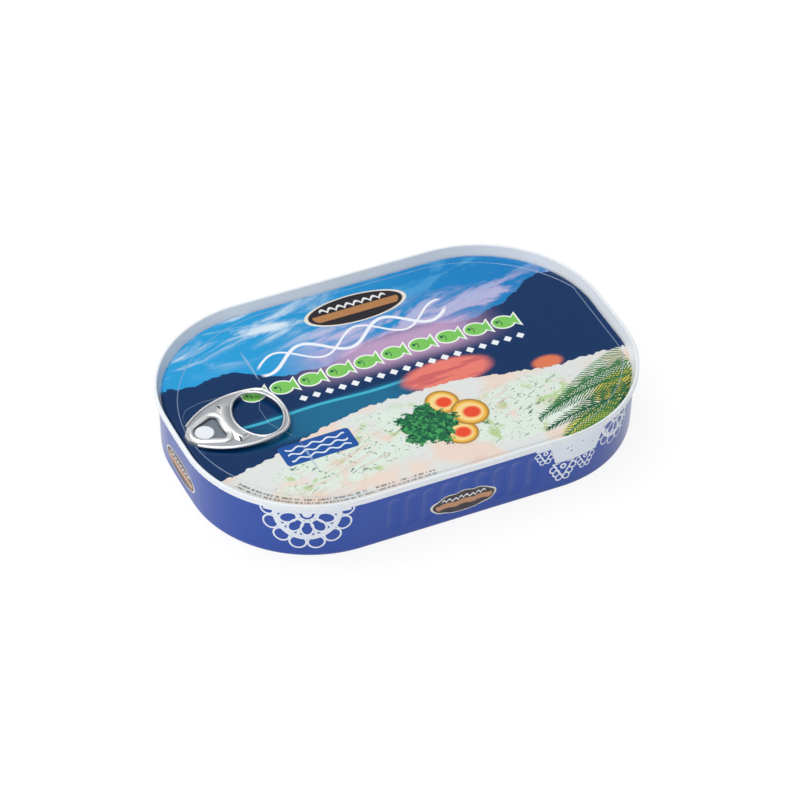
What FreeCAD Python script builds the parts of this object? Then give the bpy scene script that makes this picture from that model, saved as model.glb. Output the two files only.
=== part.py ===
"""Shut, shallow fish tin with a full-aperture ring-pull lid.

Three pieces: the drawn can body with its fluted long walls, the seamed lid with its
countersink, score line and rivet, and the ring-pull tab that the rivet holds.
Millimetres. Z is up, X runs along the tin with the tab at the -X end, and the origin
is the middle of the base.
"""
import FreeCAD, Part
import Sketcher
import math
import os
import re

# ------------------------------------------------------------------ driving sizes
SIZES = {
    # the whole tin, over the seam
    "length": 150.0,
    "width": 100.0,
    "height": 22.5,
    "corner_radius": 41.0,
    "end_radius": 400.0,
    # double seam
    "seam_height": 2.2,
    "seam_thickness": 1.0,
    "seam_overhang": 1.2,
    "seam_crown_radius": 0.35,
    "seam_hem_radius": 0.3,
    # drawn body
    "wall_thickness": 0.2,
    "wall_taper": 0.55,
    "base_radius": 1.8,
    "base_bead_inset": 9.0,
    "base_bead_width": 4.0,
    "base_bead_depth": 0.6,
    # flutes pressed into the long walls
    "flute_count": 9,
    "flute_pitch": 5.9,
    "flute_width": 4.6,
    "flute_depth": 0.42,
    "flute_length": 13.5,
    "flute_run_out": 2.6,
    "flute_middle": 10.6,
    # lid, depths counted down from the top of the seam
    "panel_depth": 2.9,
    "panel_edge_radius": 0.3,
    "countersink_depth": 3.8,
    "countersink_radius": 0.4,
    "chuck_wall_lean": 0.95,
    "plug_depth": 4.3,
    "plug_clearance": 0.05,
    "core_inset": 14.0,
    # score line, a truncated obround
    "score_width": 0.4,
    "score_depth": 0.12,
    "score_side_inset": 4.6,
    "score_nose_inset": 4.6,
    "score_flat_inset": 4.85,
    "score_flat_cut": 3.4,
    "score_corner_radius": 3.0,
    # shallow tab recess in the panel and the two creases beyond it
    "recess_depth": 0.15,
    "recess_bevel": 50.0,
    "recess_nose_setback": 6.2,
    "recess_nose_half_width": 8.9,
    "recess_cheek_setback": 8.4,
    "recess_cheek_half_width": 12.2,
    "recess_side_setback": 13.7,
    "recess_half_width": 13.7,
    "recess_tail_setback": 27.7,
    "recess_horn_setback": 34.1,
    "recess_horn_half_width": 11.7,
    "recess_notch_setback": 29.8,
    "recess_notch_half_width": 3.9,
    "crease_setback": 35.0,
    "crease_offset": 23.5,
    "crease_length": 17.0,
    "crease_width": 1.0,
    "crease_depth": 0.1,
    # rivet drawn up out of the lid, heights counted up from the panel
    "rivet_setback": 9.55,
    "rivet_offset": -0.7,
    "rivet_shank_radius": 1.8,
    "rivet_head_radius": 3.0,
    "rivet_head_thickness": 0.4,
    "rivet_head_edge": 0.15,
    "rivet_clearance": 0.1,
    "boss_radius": 3.5,
    "boss_height": 0.15,
    # ring-pull tab, heights counted up from the panel, lengths from the rivet
    "tab_turn": 1.5,
    "tab_tilt": 2.6,
    "tab_nose_reach": 6.3,
    "tab_nose_width": 2.6,
    "tab_shoulder": 4.1,
    "tab_reach": 27.15,
    "tab_width": 24.7,
    "tab_side_middle": 14.3,
    "tab_side_radius": 27.6,
    "tab_corner_radius": 6.1,
    "tab_end_radius": 19.5,
    "plate_low": 0.6,
    "plate_high": 1.0,
    "nose_low": 0.37,
    "nose_high": 1.15,
    "nose_taper": 25.0,
    "curl_middle": 0.85,
    "outer_curl_radius": 0.55,
    "inner_curl_radius": 0.42,
    "hole_length": 14.7,
    "hole_width": 20.2,
    "hole_end_radius": 12.5,
    "hole_rim": 1.8,
    "island_high": 0.55,
    "island_radius": 3.5,
    "island_reach": 5.8,
    "island_half_width": 5.2,
    "island_corner_radius": 1.6,
    "ridge_radius": 4.1,
    "ridge_reach": 7.2,
    "ridge_half_width": 6.4,
    "ridge_corner_radius": 2.6,
    "ridge_width": 2.4,
    "ridge_rise": 0.5,
    "saddle_offset": 3.0,
    "saddle_reach": 7.6,
    "saddle_width": 4.2,
    "saddle_rise": 0.55,
    "gusset_place": 8.7,
    "gusset_offset": 8.0,
    "gusset_length": 3.7,
    "gusset_width": 3.3,
    "gusset_rise": 0.6,
    "gusset_tip_width": 0.6,
    "gusset_tip_rise": 0.1,
    "slit_length": 2.0,
    "slit_width": 0.45,
}

doc = FreeCAD.newDocument("fish_tin")
sheet = doc.addObject("Spreadsheet::Sheet", "sizes")
for row, (alias, number) in enumerate(SIZES.items(), start=1):
    sheet.set(f"A{row}", alias)
    sheet.set(f"B{row}", str(number))
    sheet.setAlias(f"B{row}", alias)
doc.recompute()


def tied(formula):
    """The formula with each size's name pointing at its cell, for setExpression."""
    return re.sub(r"[a-z_]+", lambda word: _cell(word[0]), str(formula))


def _cell(word):
    return f"<<sizes>>.{word}" if word in SIZES else word


def worked_out(formula):
    """The formula's present value, for a sketch's first guess."""
    return float(sheet.evalExpression(str(formula)))


# ------------------------------------------------------------------ sketch helpers
LEFT = 1
RIGHT = -1
VERTICAL_AXIS = -2
HORIZONTAL_AXIS = -1
ORIGIN_POINT = (-1, 1)
CENTRE = 3


def plane_of(body, role):
    return next(item for item in body.Origin.OriginFeatures if item.Role == role)


def new_sketch(body, name, plane, shift=("0", "0", "0")):
    """A sketch on one of the body's origin planes, moved by three tied lengths."""
    sketch = body.newObject("Sketcher::SketchObject", name)
    sketch.AttachmentSupport = [(plane_of(body, plane), "")]
    sketch.MapMode = "FlatFace"
    for axis, formula in zip("xyz", shift):
        sketch.setExpression(f".AttachmentOffset.Base.{axis}", tied(formula))
    return sketch


def hold(sketch, constraint, formula):
    """Adds a dimension and ties it to its formula."""
    number = sketch.addConstraint(constraint)
    sketch.setExpression(f"Constraints[{number}]", tied(formula))


def hold_point(sketch, segment, end, x, y):
    """Places a point by its two formulas, on an axis where one is nought."""
    for kind, formula, axis in (("DistanceX", x, VERTICAL_AXIS), ("DistanceY", y, HORIZONTAL_AXIS)):
        if formula == "0":
            sketch.addConstraint(Sketcher.Constraint("PointOnObject", segment, end, axis))
        else:
            value = worked_out(formula)
            hold(sketch, Sketcher.Constraint(kind, *ORIGIN_POINT, segment, end, value), formula)


def arc_between(start, end, radius, turn):
    """The arc of that radius from start to end that turns left or right, under a half turn."""
    chord = end - start
    rise = math.sqrt(max(radius**2 - (chord.Length / 2) ** 2, 0.0))
    normal = FreeCAD.Vector(-chord.y, chord.x, 0).normalize()
    centre = (start + end) * 0.5 + normal * rise * turn
    ends = [math.atan2(point.y - centre.y, point.x - centre.x) for point in (start, end)]
    first, last = ends if turn == LEFT else reversed(ends)
    circle = Part.Circle(centre, FreeCAD.Vector(0, 0, 1), radius)
    return Part.ArcOfCircle(circle, first, last if last > first else last + 2 * math.pi)


def draw(sketch, corners, closed=True):
    """Draws a chain of lines and arcs through tied corners.

    A corner is (x, y) before a line, or (x, y, turn, radius) before an arc.
    """
    points = [FreeCAD.Vector(worked_out(c[0]), worked_out(c[1]), 0) for c in corners]
    count = len(corners) if closed else len(corners) - 1
    joints = []
    for index in range(count):
        start = points[index]
        end = points[(index + 1) % len(points)]
        if len(corners[index]) == 2:
            segment = sketch.addGeometry(Part.LineSegment(start, end))
            joints.append((segment, 1, 2))
            continue
        turn, radius = corners[index][2:]
        segment = sketch.addGeometry(arc_between(start, end, worked_out(radius), turn))
        joints.append((segment, 1, 2) if turn == LEFT else (segment, 2, 1))
        hold(sketch, Sketcher.Constraint("Radius", segment, worked_out(radius)), radius)
    for index, (segment, first, last) in enumerate(joints):
        hold_point(sketch, segment, first, *corners[index][:2])
        if closed or index + 1 < count:
            following, its_first = joints[(index + 1) % count][:2]
            join = Sketcher.Constraint("Coincident", segment, last, following, its_first)
            sketch.addConstraint(join)
        else:
            hold_point(sketch, segment, last, *corners[-1][:2])
    return sketch


def draw_circle(sketch, x, y, radius):
    centre = FreeCAD.Vector(worked_out(x), worked_out(y), 0)
    circle = Part.Circle(centre, FreeCAD.Vector(0, 0, 1), worked_out(radius))
    segment = sketch.addGeometry(circle)
    hold_point(sketch, segment, CENTRE, x, y)
    hold(sketch, Sketcher.Constraint("Radius", segment, worked_out(radius)), radius)
    return sketch


def add(body, kind, name, sketch, **sizes):
    """A PartDesign feature of that kind on a sketch, its sizes tied to formulas."""
    feature = body.newObject(f"PartDesign::{kind}", name)
    feature.Profile = sketch
    for prop, formula in sizes.items():
        feature.setExpression(prop, tied(formula))
    return feature


def sweep(body, kind, name, profile, path):
    """Carries a profile along a path sketch."""
    feature = add(body, kind, name, profile)
    feature.Spine = (path, [])
    return feature


def turned(body, kind, name, sketch, axis):
    """Turns a profile right round an axis of its own sketch."""
    feature = add(body, kind, name, sketch, Angle="360")
    feature.ReferenceAxis = (sketch, [axis])
    return feature


def segment_radius(width, depth):
    """The radius of an arc that is so wide and so deep."""
    return f"((({width}) / 2)^2 + ({depth})^2) / (2 * ({depth}))"


# ------------------------------------------------------------------ outlines
CORNER_Y = "(width / 2 - corner_radius)"
END_X = "(length / 2 - end_radius)"
CORNER_TO_END = "(end_radius - corner_radius)"
CORNER_X = f"({END_X} + sqrt({CORNER_TO_END}^2 - {CORNER_Y}^2))"


def tin_outline(inset):
    """The tin's plan, moved inwards: straight sides, round corners and slightly bowed ends."""
    half = f"(width / 2 - ({inset}))"
    corner = f"(corner_radius - ({inset}))"
    end = f"(end_radius - ({inset}))"
    meet_x = f"({END_X} + {end} * ({CORNER_X} - {END_X}) / {CORNER_TO_END})"
    meet_y = f"({end} * {CORNER_Y} / {CORNER_TO_END})"
    return [
        ("0", f"-{half}"),
        (CORNER_X, f"-{half}", LEFT, corner),
        (meet_x, f"-{meet_y}", LEFT, end),
        (meet_x, meet_y, LEFT, corner),
        (CORNER_X, half),
        (f"-{CORNER_X}", half, LEFT, corner),
        (f"-{meet_x}", meet_y, LEFT, end),
        (f"-{meet_x}", f"-{meet_y}", LEFT, corner),
        (f"-{CORNER_X}", f"-{half}"),
    ]


def score_outline():
    """The score's path: an obround whose end away from the tab is cut off flat."""
    half = "(width / 2 - score_side_inset)"
    nose_x = f"(score_nose_inset + {half} - length / 2)"
    flat_x = "(length / 2 - score_flat_inset)"
    far_x = f"({flat_x} + score_flat_cut - {half})"
    arm = f"({half} - score_corner_radius)"
    turn_x = f"({flat_x} - score_corner_radius)"
    turn_y = f"sqrt({arm}^2 - ({turn_x} - {far_x})^2)"
    meet_x = f"{far_x} + {half} * ({turn_x} - {far_x}) / {arm}"
    meet_y = f"{half} * {turn_y} / {arm}"
    return [
        (flat_x, "0"),
        (flat_x, turn_y, LEFT, "score_corner_radius"),
        (meet_x, meet_y, LEFT, half),
        (far_x, half),
        (nose_x, half, LEFT, half),
        (f"{nose_x} - {half}", "0", LEFT, half),
        (nose_x, f"-{half}"),
        (far_x, f"-{half}", LEFT, half),
        (meet_x, f"-{meet_y}", LEFT, "score_corner_radius"),
        (flat_x, f"-{turn_y}"),
    ]


def recess_outline():
    """The shallow recess the tab lies in, drawn in at the ring's end."""
    corners = [
        ("recess_horn_setback", "recess_horn_half_width"),
        ("recess_tail_setback", "recess_half_width"),
        ("recess_side_setback", "recess_half_width"),
        ("recess_cheek_setback", "recess_cheek_half_width"),
        ("recess_nose_setback", "recess_nose_half_width"),
    ]
    notch = ("recess_notch_setback", "recess_notch_half_width")
    back = [(f"{along} - length / 2", across) for along, across in [notch, *corners]]
    front = [(f"{along} - length / 2", f"-{across}") for along, across in [*reversed(corners), notch]]
    return back + front


SIDE_V = "(tab_width / 2 - tab_side_radius)"
END_U = "(tab_reach - tab_end_radius)"
ARMS = f"sqrt(({END_U} - tab_side_middle)^2 + {SIDE_V}^2)"
SIDE_ARM = "(tab_side_radius - tab_corner_radius)"
END_ARM = "(tab_end_radius - tab_corner_radius)"
ALONG = f"(({ARMS}^2 + {SIDE_ARM}^2 - {END_ARM}^2) / (2 * {ARMS}))"
ASIDE = f"sqrt({SIDE_ARM}^2 - {ALONG}^2)"
CORNER_U = f"(tab_side_middle + ({ALONG} * ({END_U} - tab_side_middle) - {ASIDE} * {SIDE_V}) / {ARMS})"
CORNER_V = f"({SIDE_V} - ({ALONG} * {SIDE_V} + {ASIDE} * ({END_U} - tab_side_middle)) / {ARMS})"


def tab_half(inset):
    """Half of the tab's plan: from the ring's end round the back to its shoulder."""
    side = f"(tab_side_radius - ({inset}))"
    corner = f"(tab_corner_radius - ({inset}))"
    end = f"(tab_end_radius - ({inset}))"
    shoulder_v = f"({SIDE_V} + sqrt({side}^2 - (tab_shoulder + tab_side_middle)^2))"
    side_u = f"(tab_side_middle + {side} * ({CORNER_U} - tab_side_middle) / {SIDE_ARM})"
    side_v = f"({SIDE_V} + {side} * ({CORNER_V} - {SIDE_V}) / {SIDE_ARM})"
    end_u = f"({END_U} + {end} * ({CORNER_U} - {END_U}) / {END_ARM})"
    end_v = f"({end} * {CORNER_V} / {END_ARM})"
    return [
        (f"tab_reach - ({inset})", "0", LEFT, end),
        (end_u, end_v, LEFT, corner),
        (side_u, side_v, LEFT, side),
        ("-tab_shoulder", shoulder_v),
    ]


def tab_outline(inset):
    """The whole plan of the tab, with its nose cut straight across between the shoulders."""
    (_, _, turn, end), (end_u, end_v, _, corner), (side_u, side_v, _, side), shoulder = tab_half(inset)
    return [
        (end_u, f"-{end_v}", turn, end),
        (end_u, end_v, turn, corner),
        (side_u, side_v, turn, side),
        shoulder,
        (shoulder[0], f"-{shoulder[1]}", turn, side),
        (side_u, f"-{side_v}", turn, corner),
    ]


def nose_outline():
    """The blunt nose in front of the shoulders, reaching back under the plate."""
    shoulder_u, shoulder_v = tab_half("outer_curl_radius")[-1]
    return [
        ("-tab_nose_reach", "tab_nose_width / 2"),
        ("-tab_nose_reach", "-tab_nose_width / 2"),
        (shoulder_u, f"-{shoulder_v}"),
        (f"{shoulder_u} / 2", f"-{shoulder_v}"),
        (f"{shoulder_u} / 2", shoulder_v),
        (shoulder_u, shoulder_v),
    ]


HOLE_FAR_U = "(tab_reach - hole_rim)"


def hole_outline(outset):
    """The finger hole: a four-arc oval, wider across the tab than along it."""
    along = "(hole_length / 2)"
    across = "(hole_width / 2)"
    middle = f"({HOLE_FAR_U} - {along})"
    end = "hole_end_radius"
    side = f"((2 * {end} * {along} - {along}^2 - {across}^2) / (2 * ({end} - {across})))"
    meet_u = f"(({end} - {along}) * (({end} + {outset}) / ({end} - {side}) - 1))"
    meet_v = f"(({end} + {outset}) * ({across} - {side}) / ({end} - {side}))"
    end_arc = f"{end} + {outset}"
    side_arc = f"{side} + {outset}"
    return [
        (f"{HOLE_FAR_U} + {outset}", "0", LEFT, end_arc),
        (f"{middle} + {meet_u}", meet_v, LEFT, side_arc),
        (f"{middle} - {meet_u}", meet_v, LEFT, end_arc),
        (f"{middle} - {meet_u}", f"-{meet_v}", LEFT, side_arc),
        (f"{middle} + {meet_u}", f"-{meet_v}", LEFT, end_arc),
    ]


def drop_outline(part):
    """A drop round the rivet, its wide end towards the finger hole, for the island or its ridge."""
    round_nose = f"{part}_radius"
    round_corner = f"{part}_corner_radius"
    centre_u = f"({part}_reach - {round_corner})"
    centre_v = f"({part}_half_width - {round_corner})"
    reach = f"({centre_u}^2 + {centre_v}^2)"
    step = f"({round_nose} - {round_corner})"
    slope = f"sqrt({reach} - {step}^2)"
    lean_u = f"(({step} * {centre_u} - {slope} * {centre_v}) / {reach})"
    lean_v = f"(({step} * {centre_v} + {slope} * {centre_u}) / {reach})"
    tail_u = f"{centre_u} + {round_corner} * {lean_u}"
    tail_v = f"({centre_v} + {round_corner} * {lean_v})"
    return [
        (f"{part}_reach", "0"),
        (f"{part}_reach", centre_v, LEFT, round_corner),
        (tail_u, tail_v),
        (f"{round_nose} * {lean_u}", f"{round_nose} * {lean_v}", LEFT, round_nose),
        (f"{round_nose} * {lean_u}", f"-{round_nose} * {lean_v}"),
        (tail_u, f"-{tail_v}", LEFT, round_corner),
        (f"{part}_reach", f"-{centre_v}"),
    ]


# ------------------------------------------------------------------ can body
MOUTH = "(height - seam_height)"
FLOOR = "(height - plug_depth)"
CORE_PLAN = "core_inset - 1"


def add_core(body, low, high):
    """Fills the middle of a piece whose rim is swept, lapping into that rim."""
    plan = draw(new_sketch(body, "core_plan", "XY_Plane", ("0", "0", low)), tin_outline(CORE_PLAN))
    add(body, "Pad", "core", plan, Length=f"{high} - {low}")


def swept_rim(body, corners):
    """Sweeps a section, given as (distance in from the seam, height), round the tin's plan."""
    path = draw(new_sketch(body, "rim_path", "XY_Plane"), tin_outline("0"))
    section = new_sketch(body, "rim_section", "YZ_Plane")
    draw(section, [(f"{corner[0]} - width / 2", *corner[1:]) for corner in corners])
    return sweep(body, "AdditivePipe", "rim", section, path)


def add_flutes(body, side, facing):
    """Upright flutes in one long wall: a round-ended spindle cut, repeated along the wall."""
    radius = f"({segment_radius('flute_width', 'flute_depth')})"
    wall_rise = f"({MOUTH} - base_radius)"
    lean = f"(wall_taper * ({MOUTH} - flute_middle) / {wall_rise})"
    axis_y = f"{facing} * (width / 2 - seam_overhang - {lean} + {radius} - flute_depth)"
    first_x = "-(flute_count - 1) * flute_pitch / 2"
    place = f"vector({axis_y}; flute_middle; {first_x})"
    tilt = f"{-facing} * atan(wall_taper / {wall_rise})"
    sketch = new_sketch(body, f"flute_{side}_section", "YZ_Plane")
    sketch.setExpression("AttachmentOffset", tied(f"placement({place}; rotation({tilt}; 0; 0))"))
    mouth = f"{-facing} * ({radius} - flute_depth)"
    bottom = f"{-facing} * {radius}"
    run_out = segment_radius("2 * flute_run_out", "flute_depth")
    half = "flute_length / 2"
    turn = LEFT if facing < 0 else RIGHT
    draw(sketch, [
        ("0", f"-{half}"),
        (mouth, f"-{half}", turn, run_out),
        (bottom, f"flute_run_out - {half}"),
        (bottom, f"{half} - flute_run_out", turn, run_out),
        (mouth, half),
        ("0", half),
    ])
    return turned(body, "Groove", f"flute_{side}", sketch, "V_Axis")


def can_body():
    body = doc.addObject("PartDesign::Body", "can_body")
    wall_foot = "seam_overhang + wall_taper"
    bead_arc = segment_radius("base_bead_width", "base_bead_depth")
    swept_rim(body, [
        ("core_inset", "0"),
        ("core_inset", FLOOR),
        ("seam_overhang + wall_thickness", FLOOR),
        ("seam_overhang + wall_thickness", MOUTH),
        ("seam_overhang", MOUTH),
        (wall_foot, "base_radius", LEFT, "base_radius"),
        (f"{wall_foot} + base_radius", "0"),
        ("base_bead_inset", "0", RIGHT, bead_arc),
        ("base_bead_inset + base_bead_width", "0"),
    ])
    add_core(body, "0", FLOOR)
    doc.recompute()
    cuts = [add_flutes(body, "front", -1), add_flutes(body, "back", 1)]
    flutes = body.newObject("PartDesign::LinearPattern", "flutes")
    flutes.Originals = cuts
    flutes.Direction = (plane_of(body, "X_Axis"), [""])
    flutes.setExpression("Length", tied("(flute_count - 1) * flute_pitch"))
    flutes.setExpression("Occurrences", tied("flute_count"))
    body.Tip = flutes
    return body


# ------------------------------------------------------------------ lid
PANEL = "(height - panel_depth)"
RIVET_X = "(rivet_setback - length / 2)"


def lid():
    body = doc.addObject("PartDesign::Body", "lid")
    plug_edge = "seam_overhang + wall_thickness + plug_clearance"
    groove_top = "height - countersink_depth + countersink_radius"
    groove_out = "seam_thickness + chuck_wall_lean"
    swept_rim(body, [
        (plug_edge, FLOOR),
        ("core_inset", FLOOR),
        ("core_inset", PANEL),
        (f"{groove_out} + 2 * countersink_radius + panel_edge_radius", PANEL, LEFT, "panel_edge_radius"),
        (f"{groove_out} + 2 * countersink_radius", f"{PANEL} - panel_edge_radius"),
        (f"{groove_out} + 2 * countersink_radius", groove_top, RIGHT, "countersink_radius"),
        (f"{groove_out} + countersink_radius", "height - countersink_depth", RIGHT, "countersink_radius"),
        (groove_out, groove_top),
        ("seam_thickness", "height - seam_crown_radius", LEFT, "seam_crown_radius"),
        ("seam_thickness - seam_crown_radius", "height"),
        ("seam_crown_radius", "height", LEFT, "seam_crown_radius"),
        ("0", "height - seam_crown_radius"),
        ("0", f"{MOUTH} + seam_hem_radius", LEFT, "seam_hem_radius"),
        ("seam_hem_radius", MOUTH),
        (plug_edge, MOUTH),
    ])
    add_core(body, FLOOR, PANEL)
    add_score(body)
    add_recess(body)
    add_creases(body)
    add_rivet(body)
    return body


def add_score(body):
    """The fine groove that the lid tears along."""
    path = draw(new_sketch(body, "score_path", "XY_Plane", ("0", "0", PANEL)), score_outline())
    middle = ("length / 2 - score_flat_inset", PANEL, "0")
    section = new_sketch(body, "score_section", "XZ_Plane", middle)
    corners = [("0", "-score_depth"), ("score_width", "score_depth"), ("-score_width", "score_depth")]
    sweep(body, "SubtractivePipe", "score", draw(section, corners), path)


def add_recess(body):
    """The shallow bevelled recess under the tab."""
    plan = draw(new_sketch(body, "recess_plan", "XY_Plane", ("0", "0", PANEL)), recess_outline())
    add(body, "Pocket", "recess", plan, Length="recess_depth", TaperAngle="-recess_bevel")


def add_creases(body):
    """One long shallow crease on each side of the finger well, across the panel."""
    radius = segment_radius("crease_width", "crease_depth")
    bow = segment_radius("crease_length", "crease_depth")
    axis_z = f"{PANEL} + {radius} - crease_depth"
    half = "crease_length / 2"
    for side, name in ((-1, "front"), (1, "back")):
        place = (f"{side} * crease_offset", axis_z, "crease_setback - length / 2")
        section = new_sketch(body, f"crease_{name}_section", "YZ_Plane", place)
        low = f"crease_depth - {radius}"
        corners = [(f"-{half}", "0"), (f"-{half}", low, LEFT, bow), (half, low), (half, "0")]
        draw(section, corners)
        turned(body, "Groove", f"crease_{name}", section, "H_Axis")


def add_rivet(body):
    """The rivet in one with the lid: a low boss, the shank and the flattened head."""
    section = new_sketch(body, "rivet_section", "XZ_Plane", (RIVET_X, PANEL, "-rivet_offset"))
    head_high = "island_high + rivet_head_thickness"
    draw(section, [
        ("0", "-boss_height"),
        ("boss_radius", "-boss_height"),
        ("boss_radius", "boss_height"),
        ("rivet_shank_radius", "boss_height"),
        ("rivet_shank_radius", "island_high"),
        ("rivet_head_radius", "island_high"),
        ("rivet_head_radius", f"{head_high} - rivet_head_edge", LEFT, "rivet_head_edge"),
        ("rivet_head_radius - rivet_head_edge", head_high),
        ("0", head_high),
    ])
    turned(body, "Revolution", "rivet", section, "V_Axis")


# ------------------------------------------------------------------ ring-pull tab
def tab_sketch(body, name, level):
    """A sketch parallel to the tab's plate, so far above the panel at the rivet."""
    return new_sketch(body, name, "XY_Plane", ("0", "0", level))


def level_sketch(body, name, level):
    """A sketch parallel to the lid, undoing the tab's tilt."""
    sketch = tab_sketch(body, name, level)
    shift = f"vector(({level}) * sin(tab_tilt); 0; ({level}) * cos(tab_tilt))"
    sketch.setExpression("AttachmentOffset", tied(f"placement({shift}; rotation(0; tab_tilt; 0))"))
    return sketch


def raised(body, name, plan, thickness, **more):
    return add(body, "Pad", name, plan, Length=thickness, **more)


def curled(body, name, path, far_u, radius):
    """A round bead along a path that starts at the ring's far end."""
    section = new_sketch(body, f"{name}_section", "XZ_Plane", (far_u, "curl_middle", "0"))
    draw_circle(section, "0", "0", radius)
    return sweep(body, "AdditivePipe", name, section, path)


def bead_section(sketch, width, rise):
    """A flat-bottomed bead section, let a little into the plate below the sketch's origin."""
    low = "plate_low - plate_high"
    half = f"({width}) / 2"
    bow = segment_radius(width, rise)
    return draw(sketch, [(f"-{half}", low), (half, low), (half, "0", LEFT, bow), (f"-{half}", "0")])


def add_ridge(body):
    """The rounded ridge that runs right round the island."""
    path = draw(tab_sketch(body, "ridge_path", "plate_high"), drop_outline("ridge"))
    section = new_sketch(body, "ridge_section", "XZ_Plane", ("ridge_reach", "plate_high", "0"))
    sweep(body, "AdditivePipe", "ridge", bead_section(section, "ridge_width", "ridge_rise"), path)


def add_island(body):
    """The level flat the rivet clamps: a hub down to the boss, sunk and bored from above."""
    hub = draw(level_sketch(body, "hub_plan", "boss_height"), drop_outline("ridge"))
    raised(body, "hub", hub, "plate_low - boss_height")
    sink = draw(level_sketch(body, "island_plan", "plate_high + 1"), drop_outline("island"))
    add(body, "Pocket", "island", sink, Length="plate_high + 1 - island_high")
    bore = level_sketch(body, "rivet_bore_plan", "island_high + 1")
    draw_circle(bore, "0", "0", "rivet_shank_radius + rivet_clearance")
    add(body, "Pocket", "rivet_bore", bore, Length="island_high + 1")


def add_saddle(body):
    """Half of the broad rib between the island and the finger hole, bent round the hole's near side."""
    near = "(tab_reach - hole_rim - hole_length - saddle_offset)"
    bend = "(hole_end_radius + saddle_offset)"
    end_u = f"{near} + {bend} - sqrt({bend}^2 - saddle_reach^2)"
    line = [(near, "0", RIGHT, bend), (end_u, "saddle_reach")]
    path = draw(tab_sketch(body, "saddle_path", "plate_high"), line, closed=False)
    section = new_sketch(body, "saddle_section", "XZ_Plane", (near, "plate_high", "0"))
    return sweep(body, "AdditivePipe", "saddle", bead_section(section, "saddle_width", "saddle_rise"), path)


def add_gusset(body):
    """A half-round stiffener beside the finger hole, tapering from the slit at its blunt end."""
    ends = []
    for name, along in (("gusset", "0"), ("gusset_tip", "gusset_length")):
        place = ("gusset_offset", "plate_high", f"gusset_place + {along}")
        section = new_sketch(body, f"{name}_section", "YZ_Plane", place)
        ends.append(bead_section(section, f"{name}_width", f"{name}_rise"))
    gusset = add(body, "AdditiveLoft", "gusset", ends[0])
    gusset.Sections = [ends[1]]
    gusset.Ruled = True
    front = "gusset_offset - slit_length / 2"
    back = "gusset_offset + slit_length / 2"
    left = "gusset_place - slit_width"
    slot = draw(tab_sketch(body, "slit_plan", "plate_high + 1"), [
        (left, front),
        ("gusset_place", front),
        ("gusset_place", back),
        (left, back),
    ])
    slit = add(body, "Pocket", "slit", slot, Length="plate_high + 1 - plate_low + 0.1")
    return [gusset, slit]


def pull_tab():
    body = doc.addObject("PartDesign::Body", "pull_tab")
    seat = f"vector({RIVET_X}; rivet_offset; {PANEL})"
    body.setExpression("Placement", tied(f"placement({seat}; rotation(tab_turn; -tab_tilt; 0))"))
    plate = draw(tab_sketch(body, "plate_plan", "plate_low"), tab_outline("outer_curl_radius"))
    raised(body, "plate", plate, "plate_high - plate_low")
    nose = draw(tab_sketch(body, "nose_plan", "nose_low"), nose_outline())
    raised(body, "nose", nose, "nose_high - nose_low", TaperAngle="-nose_taper")
    add_ridge(body)
    add_island(body)
    middle = "inner_curl_radius"
    hole = draw(tab_sketch(body, "hole_plan", "plate_high + 1"), hole_outline(middle))
    add(body, "Pocket", "finger_hole", hole, Length="plate_high + 1")
    hole_path = draw(tab_sketch(body, "inner_curl_path", "curl_middle"), hole_outline(middle))
    curled(body, "inner_curl", hole_path, f"{HOLE_FAR_U} + {middle}", middle)
    half = tab_half("outer_curl_radius")
    edge_path = draw(tab_sketch(body, "outer_curl_path", "curl_middle"), half, closed=False)
    curl = curled(body, "outer_curl", edge_path, half[0][0], "outer_curl_radius")
    halves = [curl, add_saddle(body), *add_gusset(body)]
    other_side = body.newObject("PartDesign::Mirrored", "other_side")
    other_side.Originals = halves
    other_side.MirrorPlane = (plane_of(body, "XZ_Plane"), [""])
    body.Tip = other_side
    return body


# ------------------------------------------------------------------ build and write
pieces = [can_body(), lid(), pull_tab()]
doc.recompute()

for item in doc.Objects:
    if {"Invalid", "Error"} & set(item.State):
        raise RuntimeError(f"{item.Name} did not build: {item.State}")
os.makedirs("parts", exist_ok=True)
for piece in pieces:
    shape = piece.Shape
    if shape.isNull() or not shape.isValid() or len(shape.Solids) != 1:
        raise RuntimeError(f"{piece.Label} is not one valid solid")
for piece in pieces:
    piece.Shape.exportStep(f"parts/{piece.Label}.step")
    print(piece.Label, round(piece.Shape.Volume, 2), piece.Shape.BoundBox)
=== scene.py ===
import bpy
import math
from collections import namedtuple
from mathutils import Matrix, Vector


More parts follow.
